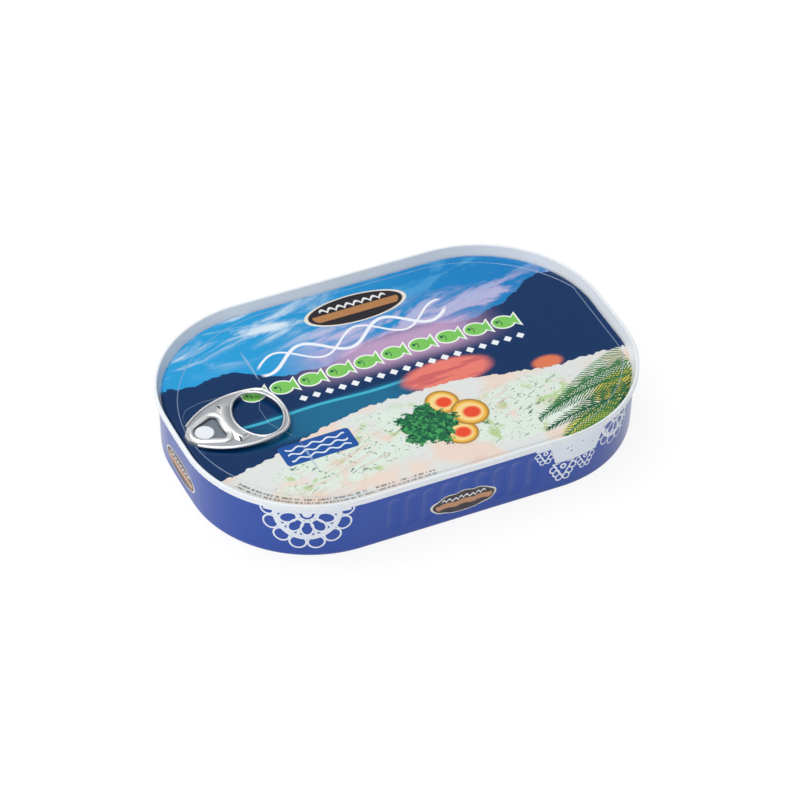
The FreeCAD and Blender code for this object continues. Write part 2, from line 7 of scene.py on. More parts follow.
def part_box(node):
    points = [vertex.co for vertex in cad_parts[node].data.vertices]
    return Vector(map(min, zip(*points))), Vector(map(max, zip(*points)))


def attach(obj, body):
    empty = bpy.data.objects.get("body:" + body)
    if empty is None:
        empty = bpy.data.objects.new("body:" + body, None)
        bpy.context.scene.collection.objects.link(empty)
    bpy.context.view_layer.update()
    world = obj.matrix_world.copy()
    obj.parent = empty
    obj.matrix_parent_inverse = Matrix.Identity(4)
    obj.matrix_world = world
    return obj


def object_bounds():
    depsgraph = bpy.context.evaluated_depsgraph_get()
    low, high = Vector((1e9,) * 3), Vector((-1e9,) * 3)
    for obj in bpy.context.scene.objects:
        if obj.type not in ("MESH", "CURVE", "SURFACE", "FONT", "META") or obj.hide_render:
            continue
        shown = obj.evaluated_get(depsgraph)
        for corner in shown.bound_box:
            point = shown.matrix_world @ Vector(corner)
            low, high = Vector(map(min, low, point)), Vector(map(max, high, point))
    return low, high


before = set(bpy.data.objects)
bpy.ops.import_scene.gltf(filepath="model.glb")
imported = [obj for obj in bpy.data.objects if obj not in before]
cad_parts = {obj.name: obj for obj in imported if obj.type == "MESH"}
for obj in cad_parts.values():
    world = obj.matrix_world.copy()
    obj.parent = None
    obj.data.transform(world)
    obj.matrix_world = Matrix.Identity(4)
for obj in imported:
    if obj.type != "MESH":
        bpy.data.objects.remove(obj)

CAD_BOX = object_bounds()
MM = 0.001

# ------------------------------------------------------------------ places on the tin
LID_LOW, LID_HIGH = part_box("lid")
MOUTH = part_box("can_body")[1].z
PANEL_DEPTH = 2.9 * MM
PANEL = LID_HIGH.z - PANEL_DEPTH
CORNER_X = 33.89 * MM
CORNER_Y = 9.0 * MM
CORNER_RADIUS = LID_HIGH.y - CORNER_Y
TAB_TURN = math.radians(1.5)
TAB_TILT = math.radians(2.6)
RIVET = Vector((LID_LOW.x + 9.55 * MM, -0.7 * MM, 0))


# ------------------------------------------------------------------ shader helpers
class Nodes:
    """Builds one node tree, with short words for the steps a paint field needs."""

    def __init__(self, tree):
        self.tree = tree

    def add(self, kind, **settings):
        node = self.tree.nodes.new(kind)
        for name, value in settings.items():
            setattr(node, name, value)
        return node

    def feed(self, socket, value):
        """Links an output to a socket, or sets a plain value on it."""
        if isinstance(value, bpy.types.NodeSocket):
            self.tree.links.new(value, socket)
        elif value is not None:
            socket.default_value = value

    def math(self, operation, first, second=None, clamp=False):
        node = self.add("ShaderNodeMath", operation=operation, use_clamp=clamp)
        self.feed(node.inputs[0], first)
        self.feed(node.inputs[1], second)
        return node.outputs[0]

    def sum(self, *values):
        total = values[0]
        for value in values[1:]:
            total = self.math("ADD", total, value)
        return total

    def minus(self, first, second):
        return self.math("SUBTRACT", first, second)

    def times(self, first, second):
        return self.math("MULTIPLY", first, second)

    def size_of(self, value):
        return self.math("ABSOLUTE", value)

    def hypotenuse(self, first, second):
        squares = self.sum(self.times(first, first), self.times(second, second))
        return self.math("SQRT", squares)

    def beyond(self, value, limit):
        """How far a value lies past a limit, to either side."""
        return self.math("MAXIMUM", self.minus(self.size_of(value), limit), 0)

    def ramp(self, value, start, end):
        """Smooth change from 0 to 1 as value goes from start to end."""
        node = self.add("ShaderNodeMapRange", interpolation_type="SMOOTHSTEP")
        self.feed(node.inputs["Value"], value)
        self.feed(node.inputs["From Min"], start)
        self.feed(node.inputs["From Max"], end)
        return node.outputs[0]

    def both(self, *masks):
        total = masks[0]
        for mask in masks[1:]:
            total = self.math("MULTIPLY", total, mask, clamp=True)
        return total

    def either(self, *masks):
        total = masks[0]
        for mask in masks[1:]:
            total = self.math("MAXIMUM", total, mask)
        return total

    def mix(self, mask, under, over):
        node = self.add("ShaderNodeMix", data_type="RGBA")
        self.feed(node.inputs[0], mask)
        self.feed(node.inputs[6], under)
        self.feed(node.inputs[7], over)
        return node.outputs[2]

    def noise(self, vector, scale, detail, distortion=0.0, roughness=0.5):
        node = self.add("ShaderNodeTexNoise")
        self.feed(node.inputs["Vector"], vector)
        node.inputs["Scale"].default_value = scale
        node.inputs["Detail"].default_value = detail
        node.inputs["Roughness"].default_value = roughness
        node.inputs["Distortion"].default_value = distortion
        return node.outputs["Fac"]

    def place(self, vector, location=(0, 0, 0), turn=0.0, scale=(1, 1, 1)):
        """The same point, as seen from a frame that is moved, turned and scaled."""
        node = self.add("ShaderNodeMapping", vector_type="TEXTURE")
        self.feed(node.inputs["Vector"], vector)
        node.inputs["Location"].default_value = location
        node.inputs["Rotation"].default_value = (0, 0, turn)
        node.inputs["Scale"].default_value = scale
        return node.outputs["Vector"]

    def split(self, vector):
        node = self.add("ShaderNodeSeparateXYZ")
        self.feed(node.inputs[0], vector)
        return node.outputs

    def combine(self, x, y):
        node = self.add("ShaderNodeCombineXYZ")
        self.feed(node.inputs[0], x)
        self.feed(node.inputs[1], y)
        return node.outputs[0]

    def length(self, vector):
        node = self.add("ShaderNodeVectorMath", operation="LENGTH")
        self.feed(node.inputs[0], vector)
        return node.outputs["Value"]

    def repeat(self, value, half_pitch):
        """Folds a value into a run from minus to plus half a pitch."""
        node = self.add("ShaderNodeMath", operation="WRAP")
        self.feed(node.inputs[0], value)
        node.inputs[1].default_value = half_pitch
        node.inputs[2].default_value = -half_pitch
        return node.outputs[0]


class Print(Nodes):
    """Paints fields of colour one over another, on a surface's own x and y."""

    def __init__(self, tree, position, size=1 / MM):
        super().__init__(tree)
        scaled = self.add("ShaderNodeVectorMath", operation="SCALE")
        self.feed(scaled.inputs[0], position)
        scaled.inputs["Scale"].default_value = size
        self.point = scaled.outputs[0]
        self.x, self.y, self.z = self.split(self.point)
        self.colour = SKY_BLUE

    def paint(self, mask, colour):
        self.colour = self.mix(mask, self.colour, colour)

    def below(self, edge, soft):
        """Where y is under an edge that may run with x."""
        return self.ramp(self.minus(self.y, edge), soft / 2, -soft / 2)

    def within(self, value, low, high, soft=0.3):
        rise = self.ramp(value, low - soft / 2, low + soft / 2)
        return self.both(rise, self.ramp(value, high + soft / 2, high - soft / 2))

    def wave(self, along, height, length, start=0.0):
        turned = self.sum(self.math("DIVIDE", along, length), start)
        return self.times(self.math("SINE", turned), height)

    def local(self, x, y, degrees=0.0):
        """Flat coordinates of a motif at that place, turned so far."""
        point = self.place(self.point, (x, y, 0), math.radians(degrees))
        flat = self.add("ShaderNodeVectorMath", operation="MULTIPLY")
        self.feed(flat.inputs[0], point)
        flat.inputs[1].default_value = (1, 1, 0)
        return flat.outputs[0]

    def oval(self, point, long, short, soft=0.3):
        stretched = self.place(point, scale=(long, short, 1))
        return self.ramp(self.length(stretched), 1 + soft / short, 1)

    def rounded(self, point, half_wide, half_high, corner, soft=0.3):
        """A box with round corners, about the point's own zero."""
        across, up, _ = self.split(point)
        over = self.beyond(across, half_wide - corner)
        past = self.beyond(up, half_high - corner)
        return self.ramp(self.hypotenuse(over, past), corner + soft / 2, corner - soft / 2)

    def speckle(self, scale, level, soft, detail=2.0, distortion=0.0):
        return self.ramp(self.noise(self.point, scale, detail, distortion), level, level + soft)


def rgb(red, green, blue):
    """A colour as it looks on paper, 0 to 255, turned to scene values."""
    def straight(value):
        value = value / 255
        return value / 12.92 if value <= 0.04045 else ((value + 0.055) / 1.055) ** 2.4
    return (straight(red), straight(green), straight(blue), 1.0)


def new_material(name):
    material = bpy.data.materials.new(name)
    material.use_nodes = True
    nodes = Nodes(material.node_tree)
    return material, nodes, material.node_tree.nodes["Principled BSDF"]


def finish_material(nodes, shader, colour, roughness, specular=0.5, metallic=0.0):
    nodes.feed(shader.inputs["Base Color"], colour)
    shader.inputs["Roughness"].default_value = roughness
    shader.inputs["Specular IOR Level"].default_value = specular
    shader.inputs["Metallic"].default_value = metallic


def object_point(nodes):
    return nodes.add("ShaderNodeTexCoord").outputs["Object"]


def wear(piece, material):
    piece.data.materials.clear()
    piece.data.materials.append(material)


# ------------------------------------------------------------------ colours
WHITE_LACQUER = rgb(232, 236, 240)
WALL_BLUE = rgb(10, 66, 162)
STEEL = rgb(186, 189, 194)
# Painted highlight and painted shade for the tab's steel: lighter where raised, darker in the sunk
# island.
STEEL_PAINTED_HIGHLIGHT = rgb(222, 222, 222)
STEEL_PAINTED_SHADE = rgb(142, 151, 160)
LACE = rgb(226, 232, 240)
LACE_HOLE = rgb(70, 86, 130)

SKY_BLUE = rgb(34, 156, 214)
DEEP_SKY = rgb(12, 124, 190)
CLOUD_WHITE = rgb(214, 229, 240)
CLOUD_PINK = rgb(226, 196, 222)
STREAK_BLUE = rgb(86, 168, 216)
FAR_HILLS = rgb(58, 92, 146)
NAVY = rgb(2, 47, 94)
HAZE = rgb(206, 166, 200)
TEAL = rgb(20, 104, 142)
LIGHT_TEAL = rgb(62, 178, 206)
GLOW = rgb(232, 124, 110)
GLOW_RIPPLE = rgb(206, 100, 100)
FAR_GLOW = rgb(222, 120, 84)
CREAM = rgb(222, 225, 222)
WARM_CREAM = rgb(234, 214, 200)
CREAM_SHADE = rgb(224, 196, 178)
SAUCE = rgb(220, 232, 220)
SAUCE_GREEN = rgb(184, 208, 150)
HERB = rgb(52, 102, 84)
SLICE_EDGE = rgb(170, 132, 62)
SLICE_RIND = rgb(232, 172, 58)
SLICE_FLESH = rgb(246, 214, 140)
SLICE_MIDDLE = rgb(232, 76, 44)
LEAF = rgb(24, 102, 66)
LEAF_LIGHT = rgb(66, 158, 86)
LEAF_DARK = rgb(12, 62, 54)
LEMON = rgb(232, 204, 78)
PALE_LEMON = rgb(226, 206, 96)
FISH_GREEN = rgb(122, 196, 92)
FISH_EDGE = rgb(240, 246, 238)
FISH_DARK = rgb(34, 96, 70)
BEAD_WHITE = rgb(236, 240, 244)
RIBBON_WHITE = rgb(236, 240, 246)
BADGE_EDGE = rgb(228, 222, 210)
BADGE_WHITE = rgb(226, 226, 226)
LABEL_BLUE = rgb(30, 82, 158)
LABEL_WHITE = rgb(222, 232, 242)
FINE_GREY = rgb(88, 92, 98)
# Painted highlight for the panel's pressed lines.
PRESSED_PAINTED_HIGHLIGHT = rgb(168, 190, 214)


# ------------------------------------------------------------------ the badge, shared by lid and wall
def badge_group():
    """A generic badge about its own zero, one unit to its edge: a dark oval with a belt and scallops."""
    tree = bpy.data.node_groups.new("badge", "ShaderNodeTree")
    tree.interface.new_socket("Point", in_out="INPUT", socket_type="NodeSocketVector")
    tree.interface.new_socket("Field", in_out="INPUT", socket_type="NodeSocketColor")
    tree.interface.new_socket("Belt", in_out="INPUT", socket_type="NodeSocketColor")
    tree.interface.new_socket("Colour", in_out="OUTPUT", socket_type="NodeSocketColor")
    tree.interface.new_socket("Mask", in_out="OUTPUT", socket_type="NodeSocketFloat")
    given = tree.nodes.new("NodeGroupInput")
    result = tree.nodes.new("NodeGroupOutput")
    field_edge = (0.95, 0.92)
    belt_edge = (0.86, 0.84)
    belt_low, belt_high = -0.36, 0.12
    scallop_height, scallop_length = 0.24, 0.055
    scallop_foot = 0.17
    row_middle, row_reach = 0.41, 0.66

    art = Print(tree, given.outputs["Point"], 1)
    reach = art.length(art.point)
    art.colour = BADGE_EDGE
    art.paint(art.ramp(reach, *field_edge), given.outputs["Field"])
    belt = art.both(art.ramp(reach, *belt_edge), art.within(art.y, belt_low, belt_high, 0.04))
    art.paint(belt, given.outputs["Belt"])
    scallop = art.size_of(art.wave(art.x, scallop_height, scallop_length))
    scallop = art.minus(scallop, scallop_foot)
    gap = art.size_of(art.minus(art.minus(art.y, row_middle), scallop))
    row = art.both(art.ramp(gap, 0.1, 0.06), art.within(art.x, -row_reach, row_reach, 0.02))
    art.paint(row, BADGE_WHITE)
    art.feed(result.inputs["Colour"], art.colour)
    art.feed(result.inputs["Mask"], art.ramp(reach, 1.02, 1.0))
    return tree


BADGE = badge_group()


def place_badge(nodes, point, field, belt):
    """Sets the badge in a material, with that material's own colours."""
    badge = nodes.add("ShaderNodeGroup", node_tree=BADGE)
    nodes.feed(badge.inputs["Point"], point)
    badge.inputs["Field"].default_value = field
    badge.inputs["Belt"].default_value = belt
    return badge.outputs["Colour"], badge.outputs["Mask"]


# ------------------------------------------------------------------ the lid's print
# Places, widths and edges are millimetres on the panel. A pair is where a change starts and ends.
def paint_sky(art):
    """Blue that deepens to the right, white cloud high on the left, pink cloud low, and pale streaks."""
    rightwards = (-60, 60)
    upper_part, left_part = (22, 36), (10, -25)
    pink_low, pink_high = 13, 31
    pink_from, streaks_from = (-35, 5), (-10, 15)
    art.paint(art.ramp(art.x, *rightwards), DEEP_SKY)
    drawn_out = art.place(art.point, turn=0.2, scale=(3.2, 1, 1))
    cloud = art.noise(drawn_out, scale=0.13, detail=6, distortion=0.6, roughness=0.62)
    white = art.both(art.ramp(art.y, *upper_part), art.ramp(art.x, *left_part))
    art.paint(art.both(art.ramp(cloud, 0.44, 0.66), white), CLOUD_WHITE)
    pink = art.both(art.within(art.y, pink_low, pink_high, 10), art.ramp(art.x, *pink_from))
    art.paint(art.both(art.ramp(cloud, 0.4, 0.62), pink), CLOUD_PINK)
    streak = art.both(art.ramp(cloud, 0.5, 0.6), art.ramp(art.x, *streaks_from))
    art.paint(art.times(streak, 0.55), STREAK_BLUE)


def paint_hills(art):
    """Far hills as a rolling edge, near ones that rise to both sides, and haze between them."""
    far_height, near_height = 17, 12
    left_slope, left_rise = (-12, -58), 11
    right_slope, right_rise = (22, 66), 15
    haze_from, haze_to = (-36, 0), (46, 20)
    haze_low, haze_high = 6, 20
    grain = art.minus(art.noise(art.point, scale=0.22, detail=4), 0.5)
    grain = art.times(grain, 6)
    far_edge = art.sum(far_height, art.wave(art.x, 3.5, 11, 0.6), art.times(grain, 0.5))
    art.paint(art.below(far_edge, 0.8), FAR_HILLS)
    left = art.times(art.ramp(art.x, *left_slope), left_rise)
    right = art.times(art.ramp(art.x, *right_slope), right_rise)
    near_edge = art.sum(near_height, left, right, grain, art.wave(art.x, 1.2, 4.3))
    art.paint(art.below(near_edge, 0.5), NAVY)
    middle = art.both(art.ramp(art.x, *haze_from), art.ramp(art.x, *haze_to))
    haze = art.both(middle, art.within(art.y, haze_low, haze_high, 7))
    art.paint(art.times(haze, 0.8), HAZE)


def paint_sea(art):
    """A band of water, a bright line of shore over it, and two warm glows."""
    water_low, water_high = -14, -1.5
    water_from, water_to = (-64, -30), (14, -8)
    shore_height, shore_half = -2.4, 0.55
    shore_from, shore_to = (-58, -50), (8, -6)
    water = art.both(
        art.within(art.y, water_low, water_high, 3),
        art.ramp(art.x, *water_from),
        art.ramp(art.x, *water_to),
    )
    art.paint(water, TEAL)
    shore = art.sum(shore_height, art.wave(art.x, 0.4, 6))
    thin = art.within(art.minus(art.y, shore), -shore_half, shore_half, 0.6)
    art.paint(art.both(thin, art.ramp(art.x, *shore_from), art.ramp(art.x, *shore_to)), LIGHT_TEAL)
    ripple = art.noise(art.place(art.point, scale=(9, 1, 1)), scale=0.5, detail=4)
    glow = art.oval(art.local(15, -4.5), 12, 5.2, 2.2)
    art.paint(glow, GLOW)
    art.paint(art.both(glow, art.ramp(ripple, 0.52, 0.6)), GLOW_RIPPLE)
    art.paint(art.oval(art.local(46, -12.5), 3.6, 2.2, 1.6), FAR_GLOW)


def paint_cream(art):
    """A pale field with a rough upper edge, and sauce with herbs in two patches on it."""
    top_height = -8.8
    left_slope, left_drop = (-8, -76), -14
    right_slope, right_drop = (12, 48), -6
    rough = art.minus(art.noise(art.point, scale=0.35, detail=3), 0.5)
    rough = art.times(rough, 3.5)
    left = art.times(art.ramp(art.x, *left_slope), left_drop)
    right = art.times(art.ramp(art.x, *right_slope), right_drop)
    field = art.below(art.sum(top_height, left, right, rough), 0.35)
    art.paint(field, CREAM)
    art.paint(art.both(field, art.speckle(0.06, 0.42, 0.16)), WARM_CREAM)

    patches = art.either(
        art.oval(art.local(-24, -26, 14), 26, 9.5, 4),
        art.oval(art.local(30, -29, 10), 20, 11, 3),
    )
    spread = art.noise(art.point, scale=0.11, detail=5, distortion=0.5)
    sauce = art.both(field, patches, art.ramp(spread, 0.34, 0.5))
    art.paint(sauce, SAUCE)
    art.paint(art.both(sauce, art.speckle(0.19, 0.54, 0.12, 3)), SAUCE_GREEN)

    strokes = art.place(art.point, turn=0.5, scale=(2.4, 0.7, 1))
    cross_strokes = art.place(art.point, turn=-0.7, scale=(2.0, 0.6, 1))
    flecks = art.either(
        art.ramp(art.noise(strokes, scale=0.8, detail=1, distortion=0.8), 0.66, 0.7),
        art.ramp(art.noise(cross_strokes, scale=0.7, detail=1, distortion=0.5), 0.69, 0.73),
        art.speckle(1.3, 0.7, 0.03, 1, 0.8),
    )
    art.paint(art.times(art.both(sauce, flecks), 0.85), HERB)

    drawn_out = art.place(art.point, turn=0.25, scale=(9, 1, 1))
    grain = art.ramp(art.noise(drawn_out, scale=0.6, detail=2), 0.5, 0.6)
    broad = art.ramp(art.noise(art.point, scale=0.07, detail=3), 0.5, 0.62)
    art.paint(art.times(art.both(field, broad, grain), 0.5), CREAM_SHADE)


def paint_slice(art, x, y, size):
    """A round slice: brown edge, yellow rind, pale flesh and a red middle."""
    edge_width = 0.6
    flesh_size = 0.76 * size
    point = art.local(x, y)
    art.paint(art.oval(point, size + edge_width, size + edge_width, 0.5), SLICE_EDGE)
    art.paint(art.oval(point, size, size), SLICE_RIND)
    art.paint(art.oval(point, flesh_size, flesh_size, 0.9), SLICE_FLESH)
    middle = art.place(point, (0.1 * size, -0.05 * size, 0))
    art.paint(art.oval(middle, 0.42 * size, 0.38 * size, 1.3), SLICE_MIDDLE)


def paint_leaves(art, x, y, size, degrees):
    """A tuft of curly leaves: a round spot with a frilled and ragged edge, mottled light and dark."""
    large_frills, small_frills = 5, 13
    point = art.local(x, y, degrees)
    across, up, _ = art.split(point)
    around = art.math("ARCTAN2", up, across)
    frill = art.sum(
        art.wave(around, 0.12, 1 / large_frills),
        art.wave(around, 0.07, 1 / small_frills, 1),
    )
    rough = art.minus(art.noise(art.point, scale=0.9, detail=3), 0.5)
    ragged = art.sum(frill, art.times(rough, 0.7))
    reach = art.sum(art.math("DIVIDE", art.length(point), size), ragged)
    leaf = art.ramp(reach, 1.0, 0.94)
    art.paint(leaf, LEAF)
    art.paint(art.both(leaf, art.speckle(0.5, 0.5, 0.08, 3, 1.0)), LEAF_LIGHT)
    art.paint(art.both(leaf, art.speckle(0.8, 0.58, 0.05)), LEAF_DARK)


Sprig = namedtuple("Sprig", "x y degrees reach spread colour")
SPRIGS = (
    Sprig(70, -22, 184, 34, 6.5, rgb(70, 132, 70)),
    Sprig(69, -40, 178, 36, 6, rgb(206, 196, 78)),
    Sprig(68, -28, 176, 36, 7, rgb(40, 104, 62)),
    Sprig(64, -34, 190, 34, 6.5, rgb(52, 118, 66)),
    Sprig(66, -37, 172, 34, 6, rgb(30, 88, 60)),
    Sprig(58, -42, 186, 24, 5, rgb(66, 128, 62)),
)


def paint_sprig(art, sprig):
    """A feathery sprig: fine needles leaning off both sides of a stem."""
    stem_bend = 0.008
    needle_lean = 1.5
    needle_half_pitch = 0.75
    needle_edge, stem_edge = (0.46, 0.3), (0.45, 0.25)
    point = art.local(sprig.x, sprig.y, sprig.degrees)
    along, off, _ = art.split(point)
    bend = art.times(art.times(along, along), stem_bend)
    side = art.size_of(art.minus(off, bend))
    inside = art.within(along, 0, sprig.reach, 0.6)
    taper = art.minus(1.15, art.math("DIVIDE", along, sprig.reach))
    envelope = art.ramp(art.minus(side, art.times(taper, sprig.spread)), 0.3, -0.6)
    lean = art.minus(along, art.times(side, needle_lean))
    wobble = art.times(art.noise(art.point, scale=0.5, detail=2), 2.4)
    comb = art.math("PINGPONG", art.sum(lean, wobble), needle_half_pitch)
    needles = art.both(inside, envelope, art.ramp(comb, *needle_edge))
    stem = art.both(inside, art.ramp(side, *stem_edge))
    art.paint(art.either(needles, stem), sprig.colour)


def paint_shoal(art):
    """A row of plain little fish, each with a pale edge, where a name would stand."""
    pitch, first = 9.6, 4.4
    run_from, run_to = -48.3, 47.2
    row_height, edge_width = 10.6, 0.55
    body_long, body_short = 3.3, 2.6
    tail_root, tail_flare = 1.1, 0.95
    tail_from, tail_to = 1.6, 3.8
    run = art.within(art.x, run_from, run_to, 0.2)
    along = art.repeat(art.minus(art.x, first), pitch / 2)
    up = art.minus(art.y, art.sum(row_height, art.wave(art.x, 0.7, 15, 0.4)))
    point = art.combine(art.sum(along, 0.9), up)
    for grow, colour in ((edge_width, FISH_EDGE), (0.0, FISH_GREEN)):
        body = art.oval(point, body_long + grow, body_short + grow, 0.25)
        flare = art.times(art.minus(along, tail_root), tail_flare)
        past_flare = art.minus(art.size_of(up), flare)
        length = art.within(along, tail_from - grow, tail_to + grow, 0.25)
        tail = art.both(art.ramp(past_flare, 0.2 + grow, grow), length)
        art.paint(art.both(run, art.either(body, tail)), colour)
    eye = art.oval(art.place(point, (-1.9, 0.6, 0)), 0.5, 0.5, 0.2)
    gill = art.within(art.length(art.place(point, (-3.6, 0, 0))), 2.75, 3.05, 0.2)
    gill = art.both(gill, art.ramp(art.size_of(up), 1.5, 1.3))
    art.paint(art.both(run, art.either(eye, gill)), FISH_DARK)


def paint_beads(art):
    """A row of small white lozenges under the shoal."""
    half_pitch, row_height = 2.2, 2.6
    run_from, run_to = -33, 46.2
    along = art.repeat(art.x, half_pitch)
    size = art.sum(art.size_of(along), art.size_of(art.minus(art.y, row_height)))
    art.paint(art.both(art.within(art.x, run_from, run_to, 0.2), art.ramp(size, 1.6, 1.35)), BEAD_WHITE)


def paint_ribbon(art):
    """A white rope-like flourish of two crossing waves, the second one thinner."""
    row_height, climb = 23.5, 0.06
    wave_height, wave_length, wave_slope = 4.2, 4.6, 0.9
    run_from, run_to = -38, 28
    for phase, half_width in ((0.0, 0.5), (2.0, 0.3)):
        wave = art.wave(art.x, wave_height, wave_length, phase)
        middle = art.sum(row_height, art.times(art.x, climb), wave)
        steep = art.size_of(art.wave(art.x, wave_slope, wave_length, phase + math.pi / 2))
        gap = art.size_of(art.minus(art.y, middle))
        gap = art.math("DIVIDE", gap, art.sum(1, art.times(steep, 0.4)))
        run = art.within(art.x, run_from, run_to, 2)
        art.paint(art.both(run, art.ramp(gap, half_width + 0.2, half_width)), RIBBON_WHITE)


def paint_badge(art):
    """The badge at the panel's far side."""
    point = art.place(art.local(2, 36), scale=(17.4, 6.6, 1))
    colour, mask = place_badge(art, point, rgb(38, 34, 40), rgb(176, 124, 78))
    art.paint(mask, colour)


def paint_label(art):
    """A plain blue label with round corners and three white waves."""
    half_wide, half_high, corner = 12, 4.6, 1.2
    wave_rows, wave_reach = (-2.4, 0, 2.4), 10
    point = art.local(-36, -20, 1)
    across, up, _ = art.split(point)
    art.paint(art.rounded(point, half_wide, half_high, corner), LABEL_BLUE)
    for row in wave_rows:
        gap = art.size_of(art.minus(art.minus(up, row), art.wave(across, 0.5, 0.8, row)))
        line = art.both(art.within(across, -wave_reach, wave_reach, 0.2), art.ramp(gap, 0.42, 0.25))
        art.paint(line, LABEL_WHITE)


def paint_fine_lines(art):
    """Two rows of tiny dashes that follow the rim at the front and round its left corner."""
    row_insets, half_width = (4.7, 6.1), 0.42
    run_from, run_to = -78, -8
    row_apart_in_noise = 7
    past = art.math("MINIMUM", art.sum(art.x, CORNER_X / MM), 0)
    down = art.minus(-CORNER_Y / MM, art.y)
    turned = art.times(art.math("ARCTAN2", past, down), CORNER_RADIUS / MM)
    along = art.sum(art.math("MAXIMUM", art.x, -CORNER_X / MM), turned)
    inset = art.minus(CORNER_RADIUS / MM, art.hypotenuse(past, down))
    front = art.both(art.ramp(down, 0, 1), art.within(along, run_from, run_to, 0.5))
    for row in row_insets:
        dashes = art.noise(art.combine(along, row * row_apart_in_noise), scale=1.4, detail=2)
        line = art.within(inset, row - half_width, row + half_width, 0.25)
        mask = art.both(front, line, art.ramp(dashes, 0.47, 0.5))
        art.paint(art.times(mask, 0.75), FINE_GREY)


PRINT_INSET = 2.05
RAISED_FROM = 0.12
PRESSED_FROM = 0.13
PRESSED_TO = 0.02
PANEL_EDGE = (3.1, 3.3)


def paint_metal_edges(art):
    """White lacquer round the print and on all that stands up, and a painted highlight along the panel's
    pressed lines.
    """
    panel = PANEL / MM
    reach = art.hypotenuse(art.beyond(art.x, CORNER_X / MM), art.beyond(art.y, CORNER_Y / MM))
    inset = art.minus(CORNER_RADIUS / MM, reach)
    margin = art.ramp(inset, PRINT_INSET + 0.1, PRINT_INSET)
    raised = art.ramp(art.z, panel + RAISED_FROM, panel + RAISED_FROM + 0.08)
    art.paint(art.either(margin, raised), WHITE_LACQUER)
    # Painted highlight: the sunk pressed lines inside the panel's edge are painted lighter.
    sunk = art.within(art.z, panel - PRESSED_FROM, panel - PRESSED_TO, 0.02)
    pressed_highlight = art.both(sunk, art.ramp(inset, *PANEL_EDGE))
    art.paint(art.times(pressed_highlight, 0.45), PRESSED_PAINTED_HIGHLIGHT)


def lid_print():
    material, nodes, shader = new_material("lid_print")
    art = Print(nodes.tree, object_point(nodes))
    paint_sky(art)
    paint_hills(art)
    paint_sea(art)
    paint_cream(art)
    paint_fine_lines(art)
    paint_label(art)
    paint_badge(art)
    paint_ribbon(art)
    paint_shoal(art)
    paint_beads(art)
    paint_slice(art, 7.5, -16.5, 4.6)
    paint_slice(art, 7, -31.5, 4.6)
    paint_slice(art, 13.5, -24, 5.2)
    paint_leaves(art, -1, -24.5, 9.2, 20)
    art.paint(art.oval(art.local(62, -31, 20), 9, 4, 2), LEMON)
    art.paint(art.oval(art.local(50, -43, 12), 12, 4, 2), PALE_LEMON)
    for sprig in SPRIGS:
        paint_sprig(art, sprig)
    paint_metal_edges(art)
    finish_material(nodes, shader, art.colour, roughness=0.16, specular=0.35)
    return material


# ------------------------------------------------------------------ the other finishes
def wall_lacquer():
    material, nodes, shader = new_material("wall_lacquer")
    finish_material(nodes, shader, WALL_BLUE, roughness=0.24)
    return material


def bare_metal():
    """Pressed steel, with painted shade on the sunk island and a painted highlight where it is raised
    above the tab's plate.
    """
    highlight_above, shade_below = (1.0, 1.25), (0.85, 0.7)
    island_from, island_to, island_side = -3.7, 6.2, (5.6, 5.4)
    material, nodes, shader = new_material("bare_metal")
    art = Print(nodes.tree, object_point(nodes))
    seat = art.place(art.point, (RIVET.x / MM, RIVET.y / MM, PANEL / MM), TAB_TURN)
    along, off, high = art.split(seat)
    level = art.minus(high, art.times(along, math.tan(TAB_TILT)))
    art.colour = STEEL
    # Painted highlight: the parts raised above the tab's plate are painted lighter.
    art.paint(art.ramp(level, *highlight_above), STEEL_PAINTED_HIGHLIGHT)
    near = art.both(art.within(along, island_from, island_to), art.ramp(art.size_of(off), *island_side))
    # Painted shade: the sunk island by the rivet is painted darker.
    art.paint(art.both(art.ramp(level, *shade_below), near), STEEL_PAINTED_SHADE)
    finish_material(nodes, shader, art.colour, roughness=0.36, metallic=1.0)
    return material


def lace_white():
    """White lacquer, with a few pinholes in the broad field of the right-hand lace."""
    field_from, field_to = 31.5, 45
    field_low, field_high = 13, 18.5
    hole_edge = (0.17, 0.1)
    material, nodes, shader = new_material("lace_white")
    art = Print(nodes.tree, object_point(nodes))
    art.colour = LACE
    cells = art.add("ShaderNodeTexVoronoi", voronoi_dimensions="3D")
    art.feed(cells.inputs["Vector"], art.point)
    cells.inputs["Scale"].default_value = 0.42
    field = art.both(art.within(art.x, field_from, field_to), art.within(art.z, field_low, field_high))
    hole = art.ramp(cells.outputs["Distance"], *hole_edge)
    art.paint(art.both(field, hole), LACE_HOLE)
    finish_material(nodes, shader, art.colour, roughness=0.45)
    return material


MEDALLION_WIDE = 11.2 * MM
MEDALLION_HIGH = 4.1 * MM
MEDALLION_MIDDLE = 8.0 * MM
END_SHARE = 0.8


def medallion_print():
    """The badge on the wall: drawn along x at the front, and along y at the end."""
    material, nodes, shader = new_material("medallion_print")
    x, y, z = nodes.split(object_point(nodes))
    at_end = nodes.math("LESS_THAN", x, -END_SHARE * LID_HIGH.x)
    along = nodes.sum(x, nodes.times(at_end, nodes.minus(y, x)))
    point = nodes.combine(
        nodes.math("DIVIDE", along, MEDALLION_WIDE),
        nodes.math("DIVIDE", nodes.minus(z, MEDALLION_MIDDLE), MEDALLION_HIGH),
    )
    colour, _ = place_badge(nodes, point, rgb(46, 40, 46), rgb(196, 142, 104))
    finish_material(nodes, shader, colour, roughness=0.35)
    return material


